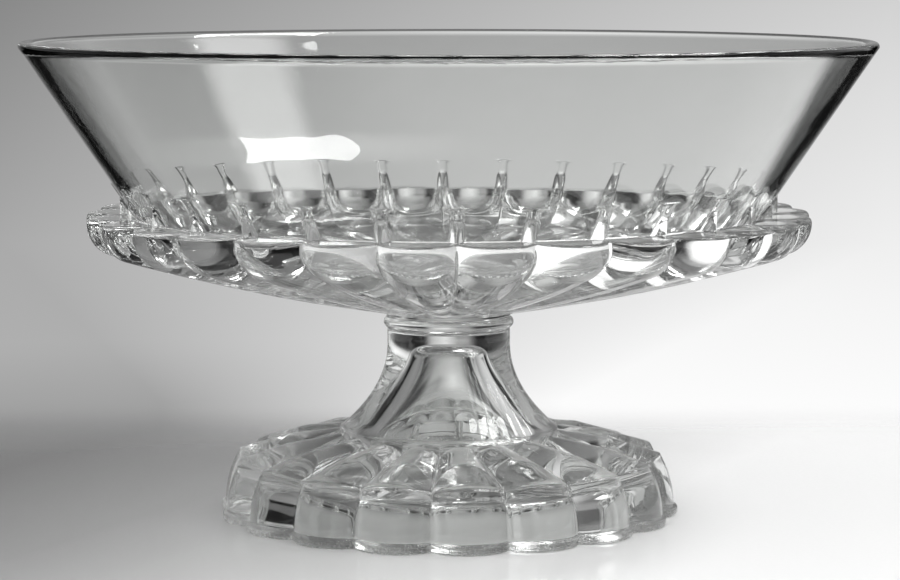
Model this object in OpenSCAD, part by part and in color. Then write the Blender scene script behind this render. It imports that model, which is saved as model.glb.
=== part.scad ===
// Footed compote bowl in clear pressed glass.
// Two pressed pieces, a bowl and a hollow foot, are joined by a disc of hot glass.
// The frame stands on the table: the origin is the centre of the foot, +Z is up, -Y is the front.

/* [Bowl wall] */
// Outer diameter of the bowl at its rim
rim_d = 240; // [225:1:265]
// Height of the wall, from the scalloped shelf to the rim
wall_h = 48.2; // [40:0.2:58]
// Diameter over the upright ridges where the wall stands on the shelf
wall_foot_d = 184.6; // [178:0.2:188]
// Height of the ridges' upright edge, up to the flaring cone of the wall
upright_h = 5.2; // [4:0.1:6.4]
// Thickness of the wall at the rim, measured level
rim_wall = 3.2; // [2.4:0.1:4.6]
// Thickness of the wall at the shelf, measured level from the ridges' upright edge
heel_wall = 7.2; // [6.4:0.1:8.6]
// Depth of the heel, where the wall turns into the floor, below the shelf
heel_drop = 9.8; // [8:0.1:10.6]
// Depth of the floor's centre below the shelf
well_depth = 11; // [10:0.1:12]
// Length of the curve on each side of the heel
heel_round = 3.5; // [2.5:0.5:6]

/* [Ridged band] */
// Height of the upright ridges around the foot of the wall
ridge_h = 8.8; // [7.2:0.1:11]
// Width of a ridge
ridge_w = 2.6; // [2:0.1:4]
// How far the ridges stand out from the cone of the wall
ridge_out = 0.4; // [0.2:0.1:0.8]

/* [Scalloped dish] */
// Width of the shelf, from the wall to the crests of the scalloped edge
shelf_w = 10; // [9.4:0.1:15]
// Height of the dish, from the peg to the shelf
dish_h = 28.3; // [26:0.1:33]
// Lobes around the edge
lobes = 30; // [24:1:36]
// Depth of the notches between lobes
notch_depth = 6.8; // [5:0.1:7.4]
// Rounding of the shelf's outer edge
edge_round = 1.8; // [1:0.1:2.2]
// Radius of the bulb under each lobe
bulb_r = 9; // [7.5:0.1:11]
// Depth of the grooves between the ribs under the dish, at the bulb
groove_depth = 5; // [3:0.1:6]
// Diameter at which the ribs under the dish belly out
rib_belly_d = 120; // [112:1:130]
// Diameter at which the grooves between them belly out
groove_belly_d = 160; // [152:1:166]
// Diameter of the dish's underside where it meets the peg
dish_root_d = 37; // [36:0.1:42]
// Turn of the first notch from the front, anticlockwise from above
bowl_turn = 1.25; // [-6:0.05:6]
// Diameter of the short peg under the dish
peg_d = 35.2; // [34:0.1:35.6]
// Height of the peg
peg_h = 1.3; // [0.8:0.1:3]

/* [Joining wafer] */
// Thickness of the disc of glass between bowl and stem
wafer_h = 3.6; // [2.4:0.1:6]
// Diameter of the disc at its faces
wafer_d = 34.6; // [33:0.1:35.6]
// How far the squeezed edge of the disc bulges past its faces
wafer_bulge = 1.2; // [0.6:0.1:2]

/* [Stem] */
// Height of the foot, from the table to the joining wafer
foot_h = 52.6; // [48:0.2:62]
// Diameter of the stem's neck
neck_d = 34.9; // [34:0.1:38]
// Length of the straight neck
neck_h = 4.1; // [2:0.1:7]
// Rounding of the neck's top edge
neck_round = 0.6; // [0.3:0.1:0.7]
// Diameter of the ring where the bell of the stem ends
ring_d = 62; // [58:0.2:68]
// Height of the ring's upper edge above the table
ring_z = 24.3; // [24:0.1:27]
// Flat left on the ring outside the bell
ring_ledge = 0.4; // [0.2:0.1:1]

/* [Foot] */
// Diameter over the crests of the foot, at the table
foot_d = 130.8; // [124:0.2:146]
// Lobes around the foot
foot_lobes = 18; // [14:1:22]
// Depth of the notches between the foot's lobes
foot_notch = 4.8; // [3:0.1:5.4]
// Turn of the foot's first notch from the front, anticlockwise from above
foot_turn = -4.6; // [-10:0.1:10]
// How far the lip at the table stands out from the skirt
lip_out = 1.1; // [0.6:0.1:1.6]
// Height of the lip
lip_h = 2.4; // [1.6:0.1:3.4]
// Height of the shoulder, where the skirt turns into the top
shoulder_z = 17; // [16:0.1:18.5]
// How far the skirt leans in from the lip to the shoulder
skirt_lean = 4.1; // [3:0.1:6]
// Drop of the shoulder in the notches
shoulder_dip = 1.7; // [1:0.1:2.4]
// Diameter at which the half-round ribs end in an arch
rib_end_d = 92; // [86:0.5:98]
// Height of a rib's crest at its end, the top of the arch
rib_end_z = 21.3; // [20.5:0.1:22]
// Diameter at which the arches end in the grooves
arch_foot_d = 108; // [102:0.5:110]
// Drop from the top of an arch to its feet in the grooves
arch_drop = 5.4; // [4.6:0.1:5.8]
// Step down from the ring to the crest of a rib
ring_step = 0.9; // [0.6:0.1:1.4]
// Depth of the grooves between the ribs, at the ring
rib_groove = 3; // [2:0.1:3.6]

/* [Hollow under the foot] */
// Diameter of the hollow at the table
hollow_d = 110; // [104:0.5:112]
// Height of the hollow's wall at the skirt
hollow_h = 10.6; // [8:0.1:11.4]
// Draft of the hollow's wall
hollow_draft = 1.6; // [0.8:0.1:2.4]
// Diameter of the throat, where the hollow turns up into the stem
throat_d = 46; // [42:0.5:50]
// Height of the throat
throat_z = 16.6; // [14:0.1:18]
// Diameter of the hollow at the top of the stem
bore_d = 14; // [12:0.2:17]
// Thickness of the glass above the hollow
crown_glass = 4.4; // [3:0.2:8]
// Rounding of the hollow's corners
hollow_round = 4; // [2.5:0.1:5]

/* [Hidden] */

// Overrun of every cut past the surface that it opens
overrun = 1;
// Fineness of the lobes, of the curves and of the turned surfaces
lobe_steps = 6;
foot_lobe_steps = 8;
curve_steps = 4;
bell_steps = 10;
$fn = 120;

// Arc that a lobe's section spans on each side of its crest, in degrees
lobe_arc = 64;
// Powers by which the bell of the stem and the hollow inside it flare
flare_power = 2.1;
hollow_power = 1.7;
// Shares of the dish's height at which its ribs and the grooves between them belly out
rib_belly_share = 0.247;
groove_belly_share = 0.442;
// Share of a ridge's width that its root is sunk into the wall
ridge_root_share = 0.5;
// Share of the rim's thickness that each of its two rounded edges takes
rim_round_share = 0.46;

wafer_z = foot_h;
bowl_z = foot_h + wafer_h;
dish_z = bowl_z + peg_h;
shelf_z = dish_z + dish_h;
rim_z = shelf_z + wall_h;
floor_z = shelf_z - well_depth;
dish_r = wall_foot_d / 2 + shelf_w;

function mix(a, b, share) = a + (b - a) * share;

// Points of a smooth bend from a to b that is drawn towards the corner c
function bend(a, c, b, steps = curve_steps) =
    [for (i = [0:steps]) let (s = i / steps) mix(mix(a, c, s), mix(c, b, s), s)];

// Point at a length from a, on the way to b
function along(a, b, length) = a + (b - a) * length / norm(b - a);

// Cutter that leaves a lobed skin: a closed band around the piece, whose section swings between
// a crest outline and a notch outline, both listed from top to bottom and then back outside
module lobed_cutter(crest, notch, count, steps, turn) {
    rows = len(crest);
    sides = count * steps;
    pitch = 360 / count;
    swing = [for (j = [0:steps - 1]) lobe_arc * (2 * j / steps - 1)];
    function row_points(row) =
        [for (k = [0:count - 1]) for (w = swing)
            let (rise = (cos(w) - cos(lobe_arc)) / (1 - cos(lobe_arc)),
                 place = (sin(w) / sin(lobe_arc) + 1) / 2,
                 angle = turn - 90 + (k + place) * pitch,
                 p = mix(notch[row], crest[row], rise))
            [p.x * cos(angle), p.x * sin(angle), p.y]];
    function at(row, side) = (row % rows) * sides + side % sides;
    polyhedron(
        points = [for (row = [0:rows - 1]) each row_points(row)],
        faces = [for (row = [0:rows - 1]) for (side = [0:sides - 1])
            each [[at(row, side), at(row + 1, side + 1), at(row, side + 1)],
                  [at(row, side), at(row + 1, side), at(row + 1, side + 1)]]]);
}

// Outline of the dish from the shelf's edge, round the bulb and down the bellied underside
function dish_outline(reach, bulb, belly) =
    let (centre = [reach - bulb, shelf_z - edge_round],
         root = [dish_root_d / 2, dish_z],
         way = centre - root,
         slope = atan2(way.y, way.x) - asin(bulb / norm(way)),
         bulb_end = centre + bulb * [sin(slope), -cos(slope)])
    concat(
        bend([reach - edge_round, shelf_z], [reach, shelf_z], [reach, centre.y]),
        [for (i = [1:curve_steps])
            let (a = (slope - 90) * i / curve_steps)
            centre + bulb * [cos(a), sin(a)]],
        [for (i = [1:curve_steps]) bend(bulb_end, belly, root)[i]]);

// The band outside the dish: its skin runs from just above the shelf to just below the peg
function dish_band(reach, bulb, belly) =
    let (skin = dish_outline(reach, bulb, belly),
         outside = dish_r + 2 * overrun)
    concat(
        [[outside, shelf_z + overrun], [skin[0].x, shelf_z + overrun]],
        skin,
        [[dish_root_d / 2, bowl_z - overrun], [outside, bowl_z - overrun]]);

module dish_cutter() {
    lobed_cutter(
        dish_band(dish_r, bulb_r, [rib_belly_d / 2, dish_z + dish_h * rib_belly_share]),
        dish_band(dish_r - notch_depth, bulb_r - groove_depth,
            [groove_belly_d / 2, dish_z + dish_h * groove_belly_share]),
        lobes, lobe_steps, bowl_turn);
}

// Outer surface of the wall at a height above the shelf: a cone from the rim down to the shelf
function cone_point(height) =
    let (rim_foot = [rim_d / 2, rim_z - rim_wall * rim_round_share],
         upright_top = [wall_foot_d / 2, shelf_z + upright_h])
    mix(upright_top, rim_foot, (height - upright_h) / (rim_foot.y - upright_top.y));

// The bowl as a turned block: peg, dish, cone of the wall and outer edge of the rim
module bowl_block() {
    rim_round = rim_wall * rim_round_share;
    block_r = dish_r + overrun;
    rim_corner = [rim_d / 2, rim_z];
    rotate_extrude()
        polygon(concat(
            [[0, bowl_z], [peg_d / 2, bowl_z], [peg_d / 2, dish_z]],
            [[dish_root_d / 2 + overrun, dish_z], [block_r, dish_z + dish_h / 2], [block_r, shelf_z]],
            [cone_point(0)],
            bend(rim_corner - [0, rim_round], rim_corner, rim_corner - [rim_round, 0]),
            [[0, rim_z]]));
}

// The hollow of the bowl: nearly flat floor, curved heel, cone and the inner edge of the rim
module bowl_hollow() {
    rim_round = rim_wall * rim_round_share;
    rim_inner = [rim_d / 2 - rim_wall, rim_z];
    wall_inner = [wall_foot_d / 2 - heel_wall, shelf_z];
    heel = mix(wall_inner, rim_inner, -heel_drop / wall_h);
    function floor_point(s) = [heel.x * s, mix(floor_z, heel.y, s * s)];
    floor_end = along(heel, [heel.x / 2, mix(floor_z, heel.y, 1 / 2)], heel_round);
    floor_share = floor_end.x / heel.x;
    rotate_extrude()
        polygon(concat(
            [for (i = [0:curve_steps - 1]) floor_point(floor_share * i / curve_steps)],
            bend(floor_point(floor_share), heel, along(heel, rim_inner, heel_round)),
            bend(along(rim_inner, wall_inner, rim_round), rim_inner, rim_inner + [rim_round, 0]),
            [[rim_inner.x + rim_round, rim_z + overrun], [0, rim_z + overrun]]));
}

// One upright ridge, which fills the corner between the cone and the shelf
module ridge() {
    root = ridge_w * ridge_root_share;
    foot = cone_point(0);
    top = cone_point(ridge_h);
    upright_r = wall_foot_d / 2;
    bend_h = upright_h - ridge_out * (ridge_h - upright_h) / (top.x - upright_r);
    rotate([90, 0, 0])
        linear_extrude(height = ridge_w, center = true)
            polygon([
                foot - [root, root], [upright_r, shelf_z - root], [upright_r, shelf_z + bend_h],
                top + [ridge_out, 0], top - [root, 0]]);
}

module bowl() {
    color("gainsboro", 0.6) {
        difference() {
            bowl_block();
            dish_cutter();
            bowl_hollow();
        }
        for (k = [1:lobes])
            rotate([0, 0, bowl_turn - 90 + k * 360 / lobes])
                ridge();
    }
}

module joining_wafer() {
    face_r = wafer_d / 2;
    middle = wafer_z + wafer_h / 2;
    bulge = [face_r + 2 * wafer_bulge, middle];
    color("whitesmoke", 0.6)
        rotate_extrude()
            polygon(concat(
                [[0, wafer_z]],
                bend([face_r, wafer_z], bulge, [face_r, bowl_z], 2 * curve_steps),
                [[0, bowl_z]]));
}

// The band outside the foot: its skin runs from just above the ring, along a rib or groove to
// the arch and over the shoulder, to just below the table
function foot_band(reach, shoulder, arch, rib_root) =
    let (skirt_r = reach - lip_out,
         lean = skirt_lean * skirt_r / (foot_d / 2),
         outside = foot_d / 2 + 2 * overrun)
    concat(
        [[outside, ring_z + overrun], [ring_d / 2, ring_z + overrun]],
        [[ring_d / 2, rib_root], arch],
        [for (i = [0:curve_steps])
            let (s = 1 - i / curve_steps)
            [skirt_r - lean * s * s, mix(lip_h, shoulder, s)]],
        [[reach, lip_h / 2], [reach, -overrun], [outside, -overrun]]);

module foot_cutter() {
    rib_root = ring_z - ring_step;
    lobed_cutter(
        foot_band(foot_d / 2, shoulder_z, [rib_end_d / 2, rib_end_z], rib_root),
        foot_band(foot_d / 2 - foot_notch, shoulder_z - shoulder_dip,
            [arch_foot_d / 2, rib_end_z - arch_drop], rib_root - rib_groove),
        foot_lobes, foot_lobe_steps, foot_turn);
}

// The foot as a turned block: base disc, bell of the stem, neck and its rounded top edge
module foot_block() {
    neck_r = neck_d / 2;
    bell_top = foot_h - neck_h;
    bell_reach = ring_d / 2 - ring_ledge - neck_r;
    block_r = foot_d / 2 + overrun;
    rotate_extrude()
        polygon(concat(
            [[0, 0], [block_r, 0], [block_r, ring_z]],
            [for (i = [bell_steps:-1:0])
                let (s = i / bell_steps)
                [neck_r + bell_reach * pow(s, flare_power), mix(bell_top, ring_z, s)]],
            bend([neck_r, foot_h - neck_round], [neck_r, foot_h], [neck_r - neck_round, foot_h]),
            [[0, foot_h]]));
}

// Hollow of the foot: skirt, ceiling, throat and the flaring bore up the stem
module foot_hollow() {
    table_edge = [hollow_d / 2, 0];
    skirt_top = [hollow_d / 2 - hollow_draft, hollow_h];
    throat = [throat_d / 2, throat_z];
    crown = [bore_d / 2, foot_h - crown_glass];
    bore_h = crown.y - throat.y;
    function bore_point(s) =
        [mix(crown.x, throat.x, pow(s, hollow_power)), mix(crown.y, throat.y, s)];
    bore_top = hollow_round / bore_h;
    bore_end = 1 - hollow_round / bore_h;
    rotate_extrude()
        polygon(concat(
            [[0, -overrun], [table_edge.x, -overrun], table_edge],
            bend(along(skirt_top, table_edge, hollow_round), skirt_top,
                along(skirt_top, throat, hollow_round)),
            bend(along(throat, skirt_top, hollow_round), throat, bore_point(bore_end)),
            [for (i = [1:bell_steps - 1]) bore_point(mix(bore_end, bore_top, i / bell_steps))],
            bend(bore_point(bore_top), crown, crown - [hollow_round, 0]),
            [[0, crown.y]]));
}

module foot() {
    color("gainsboro", 0.6)
        difference() {
            foot_block();
            foot_cutter();
            foot_hollow();
        }
}

bowl();
joining_wafer();
foot();
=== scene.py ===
"""Footed compote bowl in clear pressed glass, standing on a pale table.

The bowl and the hollow foot are pressed separately and joined by a disc of hot glass. The glass is
written in millimetres, and scaled to metres where a mesh or a node takes it. The table and the
studio are written in metres.
"""

import bpy
import numpy as np
from mathutils import Matrix
from math import acos, asin, atan2, cos, pi, radians, sin


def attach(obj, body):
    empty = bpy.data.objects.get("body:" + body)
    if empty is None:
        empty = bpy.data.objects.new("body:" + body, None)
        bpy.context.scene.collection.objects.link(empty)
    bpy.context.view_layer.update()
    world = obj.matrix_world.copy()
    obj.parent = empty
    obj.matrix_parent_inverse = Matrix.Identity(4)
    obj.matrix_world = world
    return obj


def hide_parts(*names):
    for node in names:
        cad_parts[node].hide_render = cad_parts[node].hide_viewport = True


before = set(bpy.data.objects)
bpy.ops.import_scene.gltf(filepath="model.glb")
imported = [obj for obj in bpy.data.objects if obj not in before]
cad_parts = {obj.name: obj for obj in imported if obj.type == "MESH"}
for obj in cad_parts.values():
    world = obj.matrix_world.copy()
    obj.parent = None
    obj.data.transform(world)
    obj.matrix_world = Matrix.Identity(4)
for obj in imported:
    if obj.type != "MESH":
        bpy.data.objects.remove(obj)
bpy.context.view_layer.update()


# Camera
# A long lens, a little above the rim, that looks slightly down on the bowl.
# The distance, height and tilt were worked out from the ellipses of the rim, shelf and foot.
MM = 0.001
camera_distance = 810.0
camera_height = 158.8
camera_shift_right = 0.37
camera_tilt = 6.73
camera_data = bpy.data.cameras.new("camera")
camera_data.sensor_width = 36.0
camera_data.lens = 114.8
camera = bpy.data.objects.new("camera", camera_data)
camera.location = (camera_shift_right * MM, -camera_distance * MM, camera_height * MM)
camera.rotation_euler = (radians(90.0 - camera_tilt), 0.0, 0.0)
bpy.context.scene.collection.objects.link(camera)
bpy.context.scene.camera = camera


# Bowl
# One piece of pressed soda-lime glass: a smooth wall that flares to a rounded rim, upright ridges in
# the wall's corner on the shelf, a shelf with a scalloped edge, and ribs under the dish that run in
# to a short peg. It was pressed in a mould and reheated, which rounded its edges and polished it.
bowl_z = 56.2
rim_z = 134.0
rim_r = 120.0
rim_wall = 3.2
rim_round = 1.5
shelf_z = 85.8
wall_foot_r = 92.3
upright_h = 5.2
heel_wall = 7.2
heel_drop = 9.8
heel_round = 3.5
floor_z = 74.8
dish_r = 102.3
notch_depth = 6.8
edge_round = 1.8
bulb_r = 9.0
groove_depth = 5.0
dish_z = 57.5
dish_root_r = 18.5
rib_bulge = (60.0, 64.5)
groove_bulge = (80.0, 70.0)
peg_r = 17.6

# The lobes of the shelf, each an arc from notch to notch. They are turned by bowl_turn degrees
lobes = 30
lobe_steps = 24
bowl_turn = 1.25
lobe_arc = radians(64.0)
round_bowl = (lobes, lobe_steps, bowl_turn)

# The ridges. A ring's points crowd on the two sides of a ridge, so that these are smooth
ridge_top = 94.6
ridge_w = 2.3
ridge_relief = 0.25
ridge_corner = 1.2
ridge_side = 1.0
ridge_spread = 0.15
above_ridges = 95.6
ridge_heights = [(95.0, 94.5, 4), (94.4, 93.0, 10), (92.6, 87.4, 10), (87.0, 85.9, 8)]
crowd_from = 0.84
crowd_to = 0.5
crowd_before = 0.02
crowd_past = 0.06

# The lower wall is a little thicker on the far left, and the floor sank a little over each rib
swell = 1.25
swell_z = (79.0, 85.0, 94.25, 104.5)
swell_way = 122.0
swell_spread = 46.0
sink_depth = 0.4
sink_fade_in = 4.0
sink_fade_out = 8.0

# How many points make each part of the outline, and where extra rings lie on its flat faces
floor_rows = 40
heel_rows = 10
wall_rows = 60
rim_rows = 8
cone_rows = 24
edge_rows = 6
bulb_rows = 14
underside_rows = 26
peg_rows = 3
shelf_rings = (0.35, 0.7)
face_ring = 0.6


def mix(a, b, share):
    """The point or number that lies a share of the way from a to b."""
    return a + (b - a) * share


def bend(a, c, b, steps):
    """Points of a smooth bend from a to b that is drawn towards the corner c."""
    a, b, c = (np.array(p, float) for p in (a, b, c))
    return [mix(mix(a, c, s), mix(c, b, s), s) for s in np.linspace(0.0, 1.0, steps + 1)]


def along(a, b, length):
    """The point at a length from a, on the way to b."""
    a, b = np.array(a, float), np.array(b, float)
    return a + (b - a) * length / np.linalg.norm(b - a)


def line(a, b, steps):
    """Points from just after a to b."""
    return [mix(np.array(a, float), np.array(b, float), (i + 1) / steps) for i in range(steps)]


def ring_points(r, angle, z):
    """Points round the axis, from their radii, angles and heights."""
    return np.stack([r * np.cos(angle), r * np.sin(angle), np.broadcast_to(z, angle.shape)], axis=1)


def lobed_angles(place, count, turn):
    """The angles of a ring's points, from their places within one lobe."""
    lobe = np.repeat(np.arange(count), len(place))
    return radians(turn - 90.0) + (lobe + np.tile(place, count)) * 2 * pi / count


def lobe_ring(crest, notch, count, steps, turn):
    """A closed ring of points that swings between a notch and a crest, once for each lobe."""
    swing = lobe_arc * (2.0 * np.arange(steps) / steps - 1.0)
    rise = (np.cos(swing) - cos(lobe_arc)) / (1.0 - cos(lobe_arc))
    place = (np.sin(swing) / sin(lobe_arc) + 1.0) / 2.0
    r = np.tile(mix(notch[0], crest[0], rise), count)
    z = np.tile(mix(notch[1], crest[1], rise), count)
    return ring_points(r, lobed_angles(place, count, turn), z)


def plain_ring(point, count, steps, turn):
    """A round ring with as many points as a lobed one."""
    angle = radians(turn - 90.0) + np.arange(count * steps) / steps * 2 * pi / count
    return ring_points(point[0], angle, point[1])


def turned_piece(name, first_pole, rings, last_pole, joints, materials):
    """A closed mesh in mm, from a point on the axis, through rings of points, to another point on
    the axis. The bands of faces whose numbers are in joints lie in a fused joint."""
    sides = len(rings[0])
    points = np.concatenate([[first_pole]] + rings + [[last_pole]]) * MM
    edges = [(a, (a + 1) % sides) for a in range(sides)]
    faces = [(0, 1 + b, 1 + a) for a, b in edges]
    for row in range(len(rings) - 1):
        this = 1 + row * sides
        following = this + sides
        faces += [(this + a, this + b, following + b, following + a) for a, b in edges]
    this = 1 + (len(rings) - 1) * sides
    faces += [(this + a, this + b, len(points) - 1) for a, b in edges]
    bands = np.repeat(np.arange(len(rings) + 1), sides)
    in_joint = np.isin(bands, [j % (len(rings) + 1) for j in joints])
    mesh = bpy.data.meshes.new(name)
    mesh.from_pydata(points.tolist(), [], faces)
    mesh.polygons.foreach_set("use_smooth", [True] * len(faces))
    mesh.polygons.foreach_set("material_index", in_joint.astype(int).tolist())
    for material in materials:
        mesh.materials.append(material)
    mesh.update()
    piece = bpy.data.objects.new(name, mesh)
    bpy.context.scene.collection.objects.link(piece)
    return piece


def linear(hex_colour):
    """Linear RGBA of an sRGB hex value."""
    channels = [int(hex_colour[i:i + 2], 16) / 255.0 for i in (1, 3, 5)]
    return tuple(c / 12.92 if c <= 0.04045 else ((c + 0.055) / 1.055) ** 2.4 for c in channels) + (1.0,)


def node(tree, kind, settings=None, links=None, **sockets):
    """Adds a node to a tree, with its settings, the values of its sockets and the links into it."""
    made = tree.nodes.new(kind)
    for key, value in (settings or {}).items():
        setattr(made, key, value)
    for key, value in sockets.items():
        made.inputs[key.replace("_", " ")].default_value = value
    for key, source in (links or {}).items():
        tree.links.new(source, made.inputs[key])
    return made


def pressed_glass(name, ripple_mm, ripple_depth_mm, ring_mm, scuffed_to_mm=None):
    """Colourless soda-lime glass, fire-polished: a clear, very glossy skin that still carries the
    faint ripple of the chilled mould and the shallow rings of the tool that cut it. Up to the
    height that it is scuffed to, years of standing and sliding have ground the skin matt."""
    ring_depth_mm = 0.004
    scratch_mm = 0.7
    material = bpy.data.materials.new(name)
    material.use_nodes = True
    tree = material.node_tree
    tree.nodes.clear()
    place = node(tree, "ShaderNodeTexCoord").outputs["Object"]
    ripple = node(tree, "ShaderNodeTexNoise", links={"Vector": place},
                  Scale=1.0 / (ripple_mm * MM), Detail=1.5, Roughness=0.45)
    # The rings lie 2 pi times ring_mm apart: 14 mm on the bowl, 6 on the wafer and 10 on the foot
    rings = node(tree, "ShaderNodeTexWave", {"bands_direction": "Z"}, {"Vector": place},
                 Scale=1.0 / (ring_mm * MM) / 20.0, Distortion=1.2, Detail=2.0, Detail_Scale=0.6)
    chill = node(tree, "ShaderNodeBump", links={"Height": ripple.outputs["Fac"]},
                 Strength=1.0, Distance=ripple_depth_mm * MM)
    skin = node(tree, "ShaderNodeBump",
                links={"Height": rings.outputs["Fac"], "Normal": chill.outputs["Normal"]},
                Strength=1.0, Distance=ring_depth_mm * MM)
    haze = node(tree, "ShaderNodeMapRange", links={"Value": ripple.outputs["Fac"]},
                From_Min=0.3, From_Max=0.7, To_Min=0.0, To_Max=0.03)
    rough = haze.outputs["Result"]
    if scuffed_to_mm:
        # Real scratches are finer. These are as coarse as they need to be to show
        up = node(tree, "ShaderNodeSeparateXYZ", links={"Vector": place})
        scratches = node(tree, "ShaderNodeTexNoise", links={"Vector": place},
                         Scale=1.0 / (scratch_mm * MM), Detail=4.0, Roughness=0.7)
        ground = node(tree, "ShaderNodeMapRange", links={"Value": scratches.outputs["Fac"]},
                      From_Min=0.35, From_Max=0.65, To_Min=0.06, To_Max=0.45)
        scuffs = node(tree, "ShaderNodeMapRange",
                      links={"Value": up.outputs["Z"], "To Min": ground.outputs["Result"]},
                      From_Min=0.3 * scuffed_to_mm * MM, From_Max=scuffed_to_mm * MM, To_Max=0.0)
        worn = node(tree, "ShaderNodeMath", {"operation": "MAXIMUM"},
                    {0: haze.outputs["Result"], 1: scuffs.outputs["Result"]})
        rough = worn.outputs["Value"]
    glass = node(tree, "ShaderNodeBsdfPrincipled",
                 links={"Normal": skin.outputs["Normal"], "Roughness": rough},
                 Base_Color=linear("#FDFEFD"), IOR=1.52, Transmission_Weight=1.0)
    node(tree, "ShaderNodeOutputMaterial", links={"Surface": glass.outputs["BSDF"]})
    return material


def fused_joint():
    """Where two pieces were joined hot there is no surface left between them, so it can't be seen."""
    material = bpy.data.materials.new("fused glass joint")
    material.use_nodes = True
    tree = material.node_tree
    tree.nodes.clear()
    clear = node(tree, "ShaderNodeBsdfTransparent", Color=linear("#FFFFFF"))
    node(tree, "ShaderNodeOutputMaterial", links={"Surface": clear.outputs["BSDF"]})
    return material


def dish_outline(reach, bulb, bulge):
    """Outline of the dish from the shelf's edge, round the bulb and down the underside to the peg."""
    centre = np.array([reach - bulb, shelf_z - edge_round])
    root = np.array([dish_root_r, dish_z])
    way = centre - root
    slope = atan2(way[1], way[0]) - asin(bulb / np.linalg.norm(way))
    outline = bend((reach - edge_round, shelf_z), (reach, shelf_z), (reach, centre[1]), edge_rows)
    for i in range(1, bulb_rows + 1):
        a = (slope - pi / 2) * i / bulb_rows
        outline.append(centre + bulb * np.array([cos(a), sin(a)]))
    return outline + bend(outline[-1], bulge, root, underside_rows)[1:]


def swelled(ring):
    """A ring of the inner wall, thickened low on the far left, where the window's image shows."""
    turn_away = np.abs(np.degrees(np.arctan2(ring[:, 1], ring[:, 0])) - swell_way)
    beside = np.clip(1.0 - np.minimum(turn_away, 360.0 - turn_away) / swell_spread, 0.0, 1.0)
    up = np.interp(ring[:, 2], swell_z, [0.0, 1.0, 1.0, 0.0])
    thicker = swell * (1.0 - np.cos(pi * up)) / 2 * beside * beside * (3 - 2 * beside)
    inward = 1.0 - thicker / np.hypot(ring[:, 0], ring[:, 1])
    return ring * np.stack([inward, inward, np.ones_like(inward)], axis=1)


def ridge_ring(z):
    """A ring round the wall's foot: the cone, with upright ridges that fill its corner on the shelf."""
    pitch = 2 * pi * wall_foot_r / lobes
    edge = ridge_w / 2 / pitch
    place = np.interp(2.0 * np.arange(lobe_steps) / lobe_steps - 1.0,
                      [-1.0, -crowd_from, -crowd_to, crowd_to, crowd_from, 1.0],
                      [0.0, edge - crowd_before, edge + crowd_past,
                       1 - edge - crowd_past, 1 - edge + crowd_before, 1.0])
    x = (0.5 - np.abs(place - 0.5)) * pitch
    into_corner = min(1.0, max(0.0, 1.0 - (ridge_top - z) / ridge_corner))
    flare_out = ridge_corner * (1.0 - sin(acos(into_corner)))
    flare = (rim_r - wall_foot_r) / (rim_z - rim_round - shelf_z - upright_h)
    cone = wall_foot_r + (z - shelf_z - upright_h) * flare
    fill = max(wall_foot_r - cone, 0.0)
    beyond = (x - ridge_w / 2 - flare_out) / (ridge_side + ridge_spread * fill)
    on_ridge = np.clip(0.5 - beyond, 0.0, 1.0)
    relief = (fill + ridge_relief) * on_ridge * on_ridge * (3 - 2 * on_ridge)
    r = np.tile(cone + relief * (z < ridge_top), lobes)
    return ring_points(r, lobed_angles(place, lobes, bowl_turn), z)


def sunk_ring(point):
    """A ring of the floor, where the glass sank a little over each thick rib as it cooled."""
    ring = lobe_ring((point[0], 0.0), (point[0], 1.0), *round_bowl)
    out = point[0] / floor_curve[-1][0]
    fade = min(1.0, sink_fade_in * out) * min(1.0, sink_fade_out * (1.0 - out))
    ring[:, 2] = point[1] - sink_depth * fade * (1.0 - ring[:, 2]) ** 2
    return ring


rim_inner = np.array([rim_r - rim_wall, rim_z])
wall_inner = np.array([wall_foot_r - heel_wall, shelf_z])
rim_turn = along(rim_inner, wall_inner, rim_round)
heel = mix(wall_inner, rim_inner, -heel_drop / (rim_z - shelf_z))
floor_end = 1.0 - heel_round / heel[0]
floor_curve = [np.array([heel[0] * s, mix(floor_z, heel[1], s * s)])
               for s in np.linspace(0.0, floor_end, floor_rows)[1:]]
rim_outer = np.array([rim_r, rim_z])
cone_top = rim_outer - (0.0, rim_round)
cone_foot = np.array([wall_foot_r, shelf_z + upright_h])
ledge = mix(cone_foot, cone_top, (above_ridges - cone_foot[1]) / (cone_top[1] - cone_foot[1]))

# From the middle of the floor, up the inner wall, over the rim and down to the ridges
inner = floor_curve[:-1] + bend(floor_curve[-1], heel, along(heel, rim_inner, heel_round), heel_rows)
heel_end = len(inner)
inner += line(inner[-1], rim_turn, wall_rows)[:-1]
inner += bend(rim_turn, rim_inner, rim_inner + (rim_round, 0.0), rim_rows)
outer = bend(rim_outer - (rim_round, 0.0), rim_outer, cone_top, rim_rows)
outer += line(cone_top, ledge, cone_rows)
bowl_rings = [plain_ring(p, *round_bowl) for p in inner + outer]
bowl_rings[:len(floor_curve)] = [sunk_ring(p) for p in floor_curve]
bowl_rings[heel_end:len(inner)] = [swelled(ring) for ring in bowl_rings[heel_end:len(inner)]]
for heights in ridge_heights:
    bowl_rings += [ridge_ring(z) for z in np.linspace(*heights)]

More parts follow.
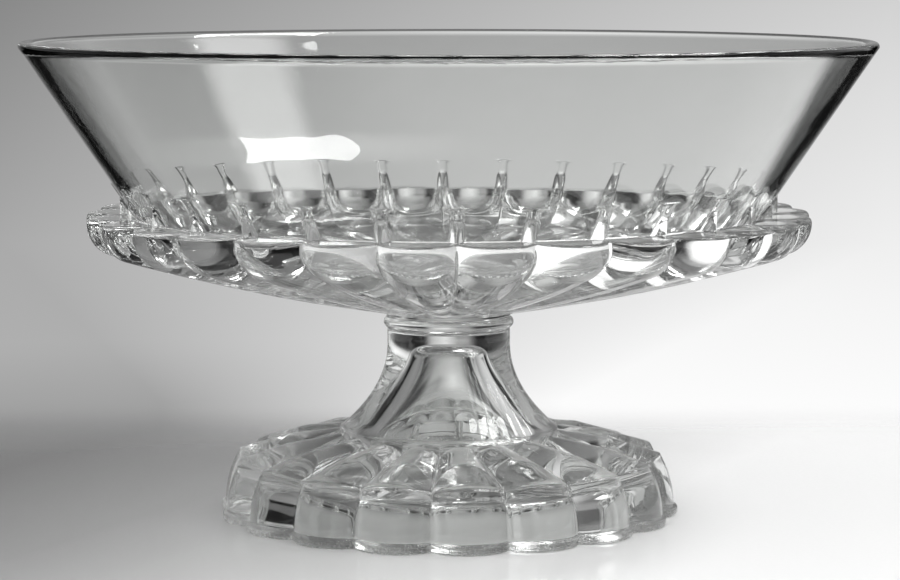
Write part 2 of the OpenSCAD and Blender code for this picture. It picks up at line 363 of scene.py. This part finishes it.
# From the wall's foot, out over the shelf, round its edge and in under the dish to the peg
crests = dish_outline(dish_r, bulb_r, rib_bulge)
notches = dish_outline(dish_r - notch_depth, bulb_r - groove_depth, groove_bulge)
dish_rings = [lobe_ring(crest, notch, *round_bowl) for crest, notch in zip(crests, notches)]
shelf_inner = lobe_ring((wall_foot_r, shelf_z), (wall_foot_r, shelf_z), *round_bowl)
bowl_rings += [shelf_inner] + [mix(shelf_inner, dish_rings[0], s) for s in shelf_rings] + dish_rings
peg = [(peg_r, dish_z)] + line((peg_r, dish_z), (peg_r, bowl_z), peg_rows) + [(peg_r * face_ring, bowl_z)]
bowl_rings += [plain_ring(p, *round_bowl) for p in peg]
bowl_glass = pressed_glass("fire-polished pressed soda-lime glass, bowl",
                           ripple_mm=14.0, ripple_depth_mm=0.05, ring_mm=2.2)
joint_glass = fused_joint()
bowl = turned_piece("bowl", (0.0, 0.0, bowl_z), bowl_rings[::-1], (0.0, 0.0, floor_z),
                    (0, 1), [bowl_glass, joint_glass])
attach(bowl, "root")
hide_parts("bowl")


# Joining wafer
# A small gather of the same glass, dropped hot on the neck of the foot and squeezed under the
# bowl's peg. Its edge bulged out as it was pressed and was left as it set.
wafer_z = 52.6
wafer_r = 17.3
wafer_bulge = 1.2
wafer_sides = 240
wafer_rows = 14
wafer_middle = (wafer_z + bowl_z) / 2
wafer_edge = bend((wafer_r, bowl_z), (wafer_r + 2 * wafer_bulge, wafer_middle), (wafer_r, wafer_z),
                  wafer_rows)
wafer_points = [(wafer_r * face_ring, wafer_z)] + wafer_edge[::-1] + [(wafer_r * face_ring, bowl_z)]
wafer_rings = [plain_ring(p, wafer_sides, 1, 0.0) for p in wafer_points]
wafer_glass = pressed_glass("squeezed hot soda-lime glass, wafer",
                            ripple_mm=5.0, ripple_depth_mm=0.08, ring_mm=0.9)
wafer = turned_piece("joining_wafer", (0.0, 0.0, wafer_z), wafer_rings, (0.0, 0.0, bowl_z),
                     (0, 1, -1, -2), [wafer_glass, joint_glass])
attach(wafer, "root")
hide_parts("joining_wafer")


# Foot
# The second pressing: a hollow bell stem over a thick lobed foot, all one piece of glass. Half-round
# ribs run out from a ring round the bell, each ends in an arch, and a lobed skirt stands on a lip.
foot_h = 52.6
neck_r = 17.45
neck_h = 4.1
neck_round = 0.6
flare_power = 2.1
ring_r = 31.0
ring_z = 24.3
ring_ledge = 0.4
ring_step = 0.9
rib_groove = 3.0
rib_end = (46.0, 21.3)
arch_foot = (54.0, 15.9)
arch_round = 0.5
shoulder_z = 17.0
shoulder_dip = 1.7
skirt_lean = 4.1
foot_r = 65.4
foot_notch = 4.8
lip_out = 1.1
lip_h = 2.4
lip_round = 0.8
lip_top_round = 0.9
lip_fillet = 0.1

# The hollow, from the bore under the stem down to the inner edge that stands on the table
hollow_r = 55.0
hollow_h = 10.6
hollow_draft = 1.6
throat_r = 23.0
throat_z = 16.6
bore_r = 7.0
crown_z = 48.2
hollow_round = 4.0
hollow_power = 1.7
inner_edge_round = 0.6

# The lobes of the foot, and how many points make each part of its outline
foot_lobes = 18
foot_steps = 32
foot_turn = -4.6
round_foot = (foot_lobes, foot_steps, foot_turn)
bell_rows = 40
neck_rows = 4
lip_rows = 4
skirt_rows = 18
arch_rows = 14
rib_rows = 16
bore_rows = 24
corner_rows = 10
ceiling_rows = 12
draft_rows = 6


def foot_outline(reach, shoulder, arch, rib_root):
    """Outline of the foot from the table up the skirt, over the shoulder and along a rib or groove."""
    skirt_r = reach - lip_out
    lean = skirt_lean * skirt_r / foot_r
    skirt = [np.array([skirt_r - lean * s * s, mix(lip_h, shoulder, s)])
             for s in np.linspace(0.0, 1.0, skirt_rows)]
    outline = bend((reach - lip_round, 0.0), (reach, 0.0), (reach, lip_round), lip_rows)
    outline += bend((reach, lip_h - lip_top_round), (reach, lip_h), skirt[0] + (lip_fillet, 0.0), lip_rows)
    outline += skirt[1:]
    arch = np.array(arch)
    root = np.array([ring_r, rib_root])
    outline += line(outline[-1], along(arch, outline[-1], arch_round), arch_rows)
    outline += bend(outline[-1], arch, along(arch, root, arch_round), lip_rows)[1:]
    return outline + line(outline[-1], root, rib_rows)


def bore_point(s):
    """The point of the bore's outline that lies a share of the way down from its crown."""
    return np.array([mix(bore_r, throat_r, s ** hollow_power), mix(crown_z, throat_z, s)])


crown = np.array([bore_r, crown_z])
throat = np.array([throat_r, throat_z])
skirt_top = np.array([hollow_r - hollow_draft, hollow_h])
table_edge = np.array([hollow_r, 0.0])
edge_start = table_edge + (0.0, inner_edge_round)
bore_end = hollow_round / (crown_z - throat_z)
hollow = bend(crown - (hollow_round, 0.0), crown, bore_point(bore_end), corner_rows)
hollow += [bore_point(s) for s in np.linspace(bore_end, 1.0 - bore_end, bore_rows)[1:-1]]
hollow += bend(bore_point(1.0 - bore_end), throat, along(throat, skirt_top, hollow_round), corner_rows)
hollow += line(hollow[-1], along(skirt_top, throat, hollow_round), ceiling_rows)[:-1]
hollow += bend(along(skirt_top, throat, hollow_round), skirt_top, along(skirt_top, table_edge, hollow_round),
               corner_rows)
hollow += line(hollow[-1], edge_start, draft_rows)[:-1]
hollow += bend(edge_start, table_edge, table_edge + (inner_edge_round, 0.0), lip_rows)
bell_reach = ring_r - ring_ledge - neck_r
bell = [np.array([neck_r + bell_reach * s ** flare_power, mix(foot_h - neck_h, ring_z, s)])
        for s in np.linspace(1.0, 0.0, bell_rows)]
neck = line(bell[-1], (neck_r, foot_h - neck_round), neck_rows)[:-1]
neck += bend((neck_r, foot_h - neck_round), (neck_r, foot_h), (neck_r - neck_round, foot_h), neck_rows)
neck += [(neck_r * face_ring, foot_h)]
rib_root = ring_z - ring_step
crests = foot_outline(foot_r, shoulder_z, rib_end, rib_root)
notches = foot_outline(foot_r - foot_notch, shoulder_z - shoulder_dip, arch_foot, rib_root - rib_groove)
foot_rings = [plain_ring(p, *round_foot) for p in hollow]
foot_rings += [lobe_ring(crest, notch, *round_foot) for crest, notch in zip(crests, notches)]
foot_rings += [plain_ring(p, *round_foot) for p in [(ring_r, ring_z)] + bell + neck]
foot_glass = pressed_glass("fire-polished pressed soda-lime glass, foot",
                           ripple_mm=10.0, ripple_depth_mm=0.05, ring_mm=1.6, scuffed_to_mm=0.9)
foot = turned_piece("foot", (0.0, 0.0, crown_z), foot_rings, (0.0, 0.0, foot_h),
                    (-1, -2), [foot_glass, joint_glass])
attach(foot, "root")
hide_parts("foot")


# Table
# A pale lacquered table top. The window's light and shade are painted into its colour: it is painted lighter
# towards the window on the right and towards the front, and darker at the far left and back. Behind the
# foot, and further out all round, it fades into the paper sweep. It lies a hair under the lip, so that no
# faces coincide.
table_left = -0.6
table_right = 0.6
table_front = -1.2
table_back = 0.6
table_gap = 0.15 * MM
painted_light_slant = -0.5
dimple_size = 1.2 * MM
dimple_depth = 0.01 * MM


def ramp(tree, factor, stops):
    """A colour ramp whose stops are (place, sRGB hex)."""
    made = node(tree, "ShaderNodeValToRGB", links={"Fac": factor})
    for element, (stop, colour) in zip(made.color_ramp.elements, (stops[0], stops[-1])):
        element.position = stop
        element.color = linear(colour)
    for stop, colour in stops[1:-1]:
        made.color_ramp.elements.new(stop).color = linear(colour)
    return made.outputs["Color"]


table_mesh = bpy.data.meshes.new("table")
table_mesh.from_pydata([(table_left, table_front, 0.0), (table_right, table_front, 0.0),
                        (table_right, table_back, 0.0), (table_left, table_back, 0.0)],
                       [], [(0, 1, 2, 3)])
table = bpy.data.objects.new("table", table_mesh)
table.location = (0.0, 0.0, -table_gap)
bpy.context.scene.collection.objects.link(table)

# Sprayed lacquer: a soft gloss, broken up a little by the fine dimples of its orange peel
table_top = bpy.data.materials.new("pale lacquered table top")
table_top.use_nodes = True
tree = table_top.node_tree
tree.nodes.clear()
place = node(tree, "ShaderNodeTexCoord").outputs["Object"]
split = node(tree, "ShaderNodeSeparateXYZ", links={"Vector": place})
grain = node(tree, "ShaderNodeTexNoise", links={"Vector": place}, Scale=1.0 / dimple_size, Detail=2.0)
# How far to the right and to the front a point lies, which sets the painted light and shade
slant = node(tree, "ShaderNodeMath", {"operation": "MULTIPLY_ADD"},
             {0: split.outputs["Y"], 2: split.outputs["X"]})
slant.inputs[1].default_value = painted_light_slant
across = node(tree, "ShaderNodeMapRange", links={"Value": slant.outputs["Value"]},
              From_Min=-0.17, From_Max=0.05)
# The table's pale colour with painted light and shade: dark grey at the far left and back, white at the
# right and front, where the window's light falls
tone = ramp(tree, across.outputs["Result"],
            [(0.0, "#7C7C7C"), (0.18, "#909090"), (0.4, "#A4A4A4"), (0.55, "#BCBCBC"),
             (0.73, "#DADADA"), (0.87, "#F0F0F0"), (1.0, "#FFFFFF")])
polish = node(tree, "ShaderNodeMapRange", links={"Value": grain.outputs["Fac"]}, To_Min=0.10, To_Max=0.2)
orange_peel = node(tree, "ShaderNodeBump", links={"Height": grain.outputs["Fac"]},
                   Strength=0.3, Distance=dimple_depth)
top = node(tree, "ShaderNodeBsdfPrincipled",
           links={"Base Color": tone, "Roughness": polish.outputs["Result"],
                  "Normal": orange_peel.outputs["Normal"]}, IOR=1.45)
gone = node(tree, "ShaderNodeBsdfTransparent")
back = node(tree, "ShaderNodeMapRange", {"interpolation_type": "SMOOTHERSTEP"},
            {"Value": split.outputs["Y"]}, From_Min=0.08, From_Max=0.2)
reach = node(tree, "ShaderNodeVectorMath", {"operation": "LENGTH"}, {"Vector": place})
ends = node(tree, "ShaderNodeMapRange", {"interpolation_type": "SMOOTHERSTEP"},
            {"Value": reach.outputs["Value"]}, From_Min=0.25, From_Max=0.55)
fade = node(tree, "ShaderNodeMath", {"operation": "MAXIMUM"},
            {0: back.outputs["Result"], 1: ends.outputs["Result"]})
fading = node(tree, "ShaderNodeMixShader",
              links={"Fac": fade.outputs["Value"], 1: top.outputs["BSDF"], 2: gone.outputs["BSDF"]})
node(tree, "ShaderNodeOutputMaterial", links={"Surface": fading.outputs["Shader"]})
table_mesh.materials.append(table_top)


# Studio
# A paper sweep behind the bowl, grey on the left and white towards the window on the right. The
# camera sees only the sweep. The glass also sees the room round the paper, which draws its dark
# edges, and the table is lit by plain white light from all round.
white = "#FFFFFF"
black = "#000000"
world = bpy.data.worlds.new("studio")
bpy.context.scene.world = world
world.use_nodes = True
tree = world.node_tree
tree.nodes.clear()
place = node(tree, "ShaderNodeTexCoord").outputs["Generated"]
split = node(tree, "ShaderNodeSeparateXYZ", links={"Vector": place})
height = node(tree, "ShaderNodeMapRange", links={"Value": split.outputs["Z"]}, From_Min=-0.2, From_Max=0.8)
sweep_left = ramp(tree, height.outputs["Result"],
                  [(0.0, "#A0A0A0"), (0.03, "#929292"), (0.045, "#A2A2A2"), (0.065, "#AFAFAF"),
                   (0.1, "#AAAAAA"), (0.15, "#979797"), (0.19, "#868686"), (0.23, "#8C8C8C"),
                   (0.37, "#BCBCBC"), (0.7, "#B8B8B8"), (1.0, "#707070")])
sweep_right = ramp(tree, height.outputs["Result"],
                   [(0.0, white), (0.04, "#FDFDFD"), (0.08, "#F5F5F5"), (0.12, "#E9E9E9"),
                    (0.15, "#DFDFDF"), (0.19, "#CFCFCF"), (0.37, "#C8C8C8"), (0.7, "#BCBCBC"),
                    (1.0, "#787878")])

# The change from grey to white is short near the table, and longer higher up
pool = node(tree, "ShaderNodeMapRange", links={"Value": split.outputs["Z"]}, From_Min=-0.155, From_Max=-0.1)
grey_ends = node(tree, "ShaderNodeMapRange", links={"Value": pool.outputs["Result"]},
                 To_Min=-0.1, To_Max=-0.155)
white_starts = node(tree, "ShaderNodeMapRange", links={"Value": pool.outputs["Result"]},
                    To_Min=0.04, To_Max=0.15)
side = node(tree, "ShaderNodeMapRange",
            links={"Value": split.outputs["X"], "From Min": grey_ends.outputs["Result"],
                   "From Max": white_starts.outputs["Result"]})
azimuth = node(tree, "ShaderNodeMath", {"operation": "ARCTAN2"},
               {0: split.outputs["X"], 1: split.outputs["Y"]})
around = node(tree, "ShaderNodeMapRange", links={"Value": azimuth.outputs["Value"]},
              From_Min=-pi, From_Max=pi)


def by_azimuth(stops):
    """A tone that changes round the room. The stops are (degrees right of straight ahead, sRGB hex)."""
    return ramp(tree, around.outputs["Result"],
                [((degrees + 180.0) / 360.0, colour) for degrees, colour in stops])


def mixed(factor, first, second):
    """Two lights, mixed by a factor."""
    return node(tree, "ShaderNodeMixShader", links={"Fac": factor, 1: first, 2: second}).outputs["Shader"]


def sweep(links):
    """The paper sweep as a light, grey on the left and white on the right."""
    left = node(tree, "ShaderNodeBackground", links={"Color": sweep_left, **links}, Strength=1.0)
    right = node(tree, "ShaderNodeBackground", links={"Color": sweep_right, **links}, Strength=1.0)
    return mixed(side.outputs["Result"], left.outputs["Background"], right.outputs["Background"])


# What only the glass sees: the tones of the room, where the paper ends, and how the paper's light
# falls off to the right
room = by_azimuth([(-180.0, "#707070"), (-90.0, "#747474"), (-60.0, "#8C8C8C"), (-34.0, "#747474"),
                   (-24.0, "#626262"), (-16.0, "#848484"), (0.0, "#A4A4A4"), (12.0, "#848484"),
                   (25.0, "#787878"), (36.0, "#E0E0E0"), (58.0, "#CCCCCC"), (74.0, "#A0A0A0"),
                   (120.0, "#787878"), (180.0, "#707070")])
paper_width = by_azimuth([(-15.0, white), (-10.5, black), (9.0, black), (15.0, white)])
paper_height = node(tree, "ShaderNodeMapRange", links={"Value": split.outputs["Z"]},
                    From_Min=0.02, From_Max=0.14)
past_paper = node(tree, "ShaderNodeMath", {"operation": "MAXIMUM"},
                  {0: paper_width, 1: paper_height.outputs["Result"]})
falloff = by_azimuth([(-7.0, white), (-2.0, "#F2F2F2"), (2.0, "#EAEAEA"), (6.0, "#D6D6D6"),
                      (9.0, "#CACACA")])

# Four things dim what the glass sees: the table's unlit ends, the floor of the room, the dark
# furniture at each side at the height of the table, and the unlit ceiling
table_ends = by_azimuth([(-70.0, white), (-50.0, "#383838"), (-19.0, "#303030"), (-13.0, white),
                         (12.0, white), (17.0, "#303030"), (50.0, "#383838"), (70.0, white)])
above_table = node(tree, "ShaderNodeMapRange", links={"Value": split.outputs["Z"]},
                   From_Min=-0.12, From_Max=-0.08)
unlit_ends = node(tree, "ShaderNodeMix",
                  links={"Factor": above_table.outputs["Result"], "A": table_ends}, B=1.0)
room_floor = node(tree, "ShaderNodeMapRange", links={"Value": split.outputs["Z"]},
                  From_Min=-0.4, From_Max=-0.27, To_Min=0.22, To_Max=1.0)
furniture = by_azimuth([(-100.0, white), (-90.0, black), (-29.0, black), (-21.0, white),
                        (17.0, white), (22.0, "#181818"), (28.0, "#181818"), (34.0, white),
                        (40.0, "#949494"), (66.0, "#949494"), (74.0, "#B0B0B0"),
                        (110.0, "#909090"), (130.0, white)])
off_furniture = ramp(tree, height.outputs["Result"],
                     [(0.06, white), (0.09, black), (0.25, black), (0.31, white)])
dark_furniture = node(tree, "ShaderNodeMix", links={"Factor": off_furniture, "A": furniture}, B=1.0)
ceiling = node(tree, "ShaderNodeMapRange", links={"Value": split.outputs["Z"]},
               From_Min=0.36, From_Max=0.6, To_Min=1.0, To_Max=0.55)
dim = unlit_ends.outputs["Result"]
for shade in (room_floor, dark_furniture, ceiling):
    darker = node(tree, "ShaderNodeMath", {"operation": "MULTIPLY"}, {0: dim, 1: shade.outputs["Result"]})
    dim = darker.outputs["Value"]
paper_dim = node(tree, "ShaderNodeMath", {"operation": "MULTIPLY"}, {0: dim, 1: falloff})
walls = node(tree, "ShaderNodeBackground", links={"Color": room, "Strength": dim})
around_bowl = mixed(past_paper.outputs["Value"], sweep({"Strength": paper_dim.outputs["Value"]}),
                    walls.outputs["Background"])

# The pale reveal round the window glows, and shows as a soft sheen in the far left of the wall
reveal_way = (0.656, -0.023, 0.755)
towards = node(tree, "ShaderNodeVectorMath", {"operation": "DOT_PRODUCT"}, {0: place})
towards.inputs[1].default_value = reveal_way
reveal = node(tree, "ShaderNodeMapRange", {"interpolation_type": "SMOOTHSTEP"},
              {"Value": towards.outputs["Value"]}, From_Min=0.968, From_Max=0.995, To_Max=3.0)
glow = node(tree, "ShaderNodeBackground", links={"Strength": reveal.outputs["Result"]}, Color=linear(white))
studio = node(tree, "ShaderNodeAddShader", links={0: around_bowl, 1: glow.outputs["Background"]})

# Light that a matt surface gets is the plain white, and what the camera sees directly is the sweep
soft = node(tree, "ShaderNodeBackground", Color=linear(white), Strength=1.12)
rays = node(tree, "ShaderNodeLightPath")
indirect = mixed(rays.outputs["Diffuse Depth"], studio.outputs["Shader"], soft.outputs["Background"])
seen = mixed(rays.outputs["Is Camera Ray"], indirect, sweep({}))
node(tree, "ShaderNodeOutputWorld", links={"Surface": seen})

# The window, high on the right. Its lower edge follows the line that it draws in the wall's far side
window_way = np.array([0.440, 0.085, 0.894])
window_edge = np.array([-0.421, -0.860, 0.289])
window_far = 1.2
window_drop = 0.016
window_up = np.cross(window_way, window_edge)
window_at = window_far * window_way - window_drop * window_up
window_data = bpy.data.lights.new("window", "AREA")
window_data.shape = "RECTANGLE"
window_data.size = 0.55
window_data.size_y = 0.19
window_data.energy = 5.0
window = bpy.data.objects.new("window", window_data)
window.matrix_world = Matrix(np.column_stack([window_edge, window_up, window_way, window_at])).to_4x4()
bpy.context.scene.collection.objects.link(window)

# Colours are shown as they are written
bpy.context.scene.view_settings.view_transform = "Standard"

# Light passes through many walls and lobes of glass before it leaves
bpy.context.scene.cycles.max_bounces = 24
bpy.context.scene.cycles.transmission_bounces = 24
bpy.context.scene.cycles.glossy_bounces = 12
